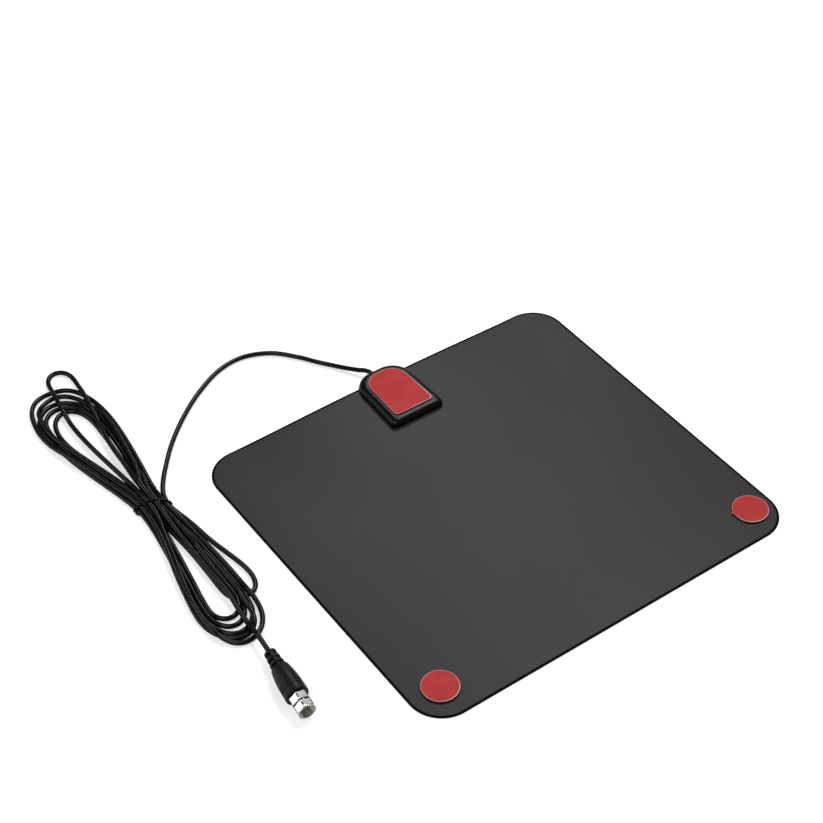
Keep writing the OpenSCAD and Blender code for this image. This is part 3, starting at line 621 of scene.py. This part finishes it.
def nut():
    """A hexagon whose corners are cut back to circles: the radius is the lesser of the flat's and the cutting circle's.
    The circle dips at the bevelled ends and in the ring groove. Each cut is a place along the axis, the circle's
    radius, how dark it is and whether dark lines run along its corners. How dark is painted shade: at the ends,
    in the ring groove and at the mouth. Inside, a thread winds to the mouth: a cosine of the place and the angle."""
    a = np.radians(np.arange(0, 360, 1.5))
    off = (a - NUT_TURN) % math.radians(60) - math.radians(30)
    hexagon = NUT_AF / 2 / np.cos(off)
    corner = NUT_AF / 2 / math.cos(math.radians(30))
    # edge is 1 along the hexagon's corners, where a dark line is drawn.
    edge = np.clip(1.7 - (math.radians(30) - np.abs(off)) * corner / 0.45, 0, 1)
    start, end = BOOT_L + NUT_GAP, BOOT_L + NUT_GAP + NUT_L
    low, high = start + GROOVE[0], start + GROOVE[1]
    cuts = [(start, 5.5, 0.6, 0), (start + 0.08, 5.62, 0.2, 0), (start + 0.45, 6.1, 0, 0), (start + 0.7, 6.32, 0, 0),
            (start + 1.3, 6.3, 0, 1), (low - 1.0, 6.3, 0, 1), (low - 0.7, 6.3, 0, 0), (low - 0.06, 6.15, 0, 0),
            (low, 6.0, 0.4, 0), (low + 0.02, GROOVE_R, 0.7, 0), (high - 0.02, GROOVE_R, 0.7, 0), (high, 6.0, 0.4, 0),
            (high + 0.06, 6.15, 0, 0), (high + 0.7, 6.3, 0, 0), (high + 1.0, 6.3, 0, 1), (end - 1.4, 6.3, 0, 1),
            (end - 1.0, 6.3, 0, 0), (end - 0.4, 6.05, 0, 0), (end - 0.08, 5.65, 0, 0), (end, 5.5, 0.1, 0)]
    rows = [(s, np.minimum(hexagon, c)) for s, c, dark, dark_corner in cuts]
    # The darkness is painted shade in the groove and at the ends, and dark lines along the hexagon's corners.
    value = [np.maximum(dark, 0.95 * edge * dark_corner) for s, c, dark, dark_corner in cuts]
    # Inside the bore, the third number is painted shade: darkest just inside the mouth and at the back.
    inside = [(end, THREAD_R + 0.55, 0.3), (end - 0.3, THREAD_R + 0.15, 0.9)]
    inside += [(s, THREAD_R + THREAD_H * (0.5 + 0.5 * np.cos(2 * math.pi * s / PITCH + a)) - 0.1, 0.3)
               for s in np.arange(end - 0.5, start + WEB, -0.1)]
    inside += [(start + WEB, THREAD_R, 1), (start + WEB, NECK_R, 1), (start, NECK_R, 1)]
    rows += [(s, r) for s, r, dark in inside]
    value += [np.full(a.shape, float(dark)) for s, r, dark in inside]
    piece = skin("hex_coupling_nut", round_plug(rows, a), round_rows=True, sharp=24)
    add_value(piece, "groove", np.array(value))
    return piece


hex_nut = dress(nut(), NICKEL_LOOK, body=NUT_BODY, stands_for=("coupling_nut",))

# ---------------------------------------------------------------- solids that keep their shape
BOARD, WHITE = rgb(24, 84, 48), rgb(232, 230, 222)
LOOKS = {"housing_pad": TAPE_LOOK, "left_pad": DISC_TAPE_LOOK, "right_pad": DISC_TAPE_LOOK, "front_shell": SHELL_LOOK,
         "plug_boot": BOOT_LOOK, "plug_body": NICKEL_LOOK, "cord_jacket_end": JACKET_LOOK,
         "antenna_foil": plain_finish("aluminium_foil", rgb(200, 201, 204), 0.25, 1.0),
         "circuit_board": plain_finish("board_laminate", BOARD, 0.4),
         "balun_core": plain_finish("ferrite_core", rgb(52, 50, 49), 0.55),
         "balun_winding": plain_finish("enamelled_wire", rgb(178, 92, 44), 0.25, 1.0),
         "board_chips": plain_finish("chip_parts", rgb(120, 104, 84), 0.45),
         "contact_rivets": plain_finish("tinned_rivet", rgb(196, 194, 188), 0.3, 1.0),
         "cord_clamp": plain_finish("steel_saddle", rgb(180, 180, 178), 0.35, 1.0),
         "cord_braid_end": plain_finish("braid_wire", rgb(190, 186, 180), 0.4, 1.0, 2400.0, 0.0001),
         "cord_core_end": plain_finish("core_insulation", WHITE, 0.45),
         "cord_wire_end": plain_finish("centre_wire", rgb(196, 120, 76), 0.25, 1.0),
         "plug_insulator": plain_finish("white_insulator", WHITE, 0.4),
         "centre_pin": plain_finish("gilt_pin", rgb(206, 170, 96), 0.22, 1.0)}
for name, look in LOOKS.items():
    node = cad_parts[name]
    node.data.materials.clear()
    node.data.materials.append(look.material)

# ---------------------------------------------------------------- table and light
TABLE_SIZE, BELOW, DIM_ROOM, ROOM_IN_VIEW = 16, 0.0002, 0.17, 1.0
bpy.ops.mesh.primitive_plane_add(size=TABLE_SIZE, location=(0, 0, -BELOW))
floor = bpy.context.object
floor.name = "table_top"


def table_finish():
    """Pale table: it keeps the shadows, and is white to the camera."""
    f = Finish("pale_table")
    cloth = f.noise(30, 3, 0.5)
    seen = f.node("ShaderNodeLightPath", out="Is Camera Ray") + f.node("ShaderNodeLightPath", out="Is Transmission Ray")
    far = f.node("ShaderNodeVectorMath", {"operation": "LENGTH"}, {0: f.place()}, out=1)
    tone = f.mix(f.smooth(cloth, 0.3, 0.7), (0.84, 0.84, 0.84, 1), (0.86, 0.86, 0.86, 1))
    return f.surface(tone, Roughness=0.9, Specular_IOR_Level=0.1, Emission_Color=(1, 1, 1, 1),
                     Emission_Strength=seen.above(0.5) * f.smooth(far, 0.5, 1.8, 0.48, 1.0))


floor.data.materials.append(table_finish().material)


def lamp(name, place, target, size, power):
    """A square soft lamp at a place, turned to a target."""
    light = bpy.data.lights.new(name, "AREA")
    light.size, light.energy = size, power
    holder = bpy.data.objects.new(name, light)
    scene.collection.objects.link(holder)
    holder.location = place
    holder.rotation_euler = (Vector(target) - Vector(place)).to_track_quat("-Z", "Y").to_euler()


lamp("right_window", (0.75, 0.3, 1.5), (0, 0.1, 0), 0.7, 11)
lamp("left_window", (-1.0, -0.45, 1.5), (-0.05, 0.05, 0), 0.9, 9)
lamp("far_softbox", (0.85, 1.24, 1.5), (0, 0.03, 0), 0.7, 7)
lamp("low_softbox", (-1.25, 0.8, 0.62), (-0.19, -0.08, 0), 0.8, 3.5)
world = bpy.data.worlds.new("studio")
scene.world = world
world.use_nodes = True
world.node_tree.nodes["Background"].inputs[0].default_value = (1, 1, 1, 1)
backdrop = world.node_tree.nodes.new("ShaderNodeMapRange")
backdrop.inputs[3].default_value, backdrop.inputs[4].default_value = DIM_ROOM, ROOM_IN_VIEW
sight = world.node_tree.nodes.new("ShaderNodeLightPath")
world.node_tree.links.new(sight.outputs["Is Camera Ray"], backdrop.inputs[0])
world.node_tree.links.new(backdrop.outputs[0], world.node_tree.nodes["Background"].inputs[1])
scene.view_settings.view_transform = "Standard"
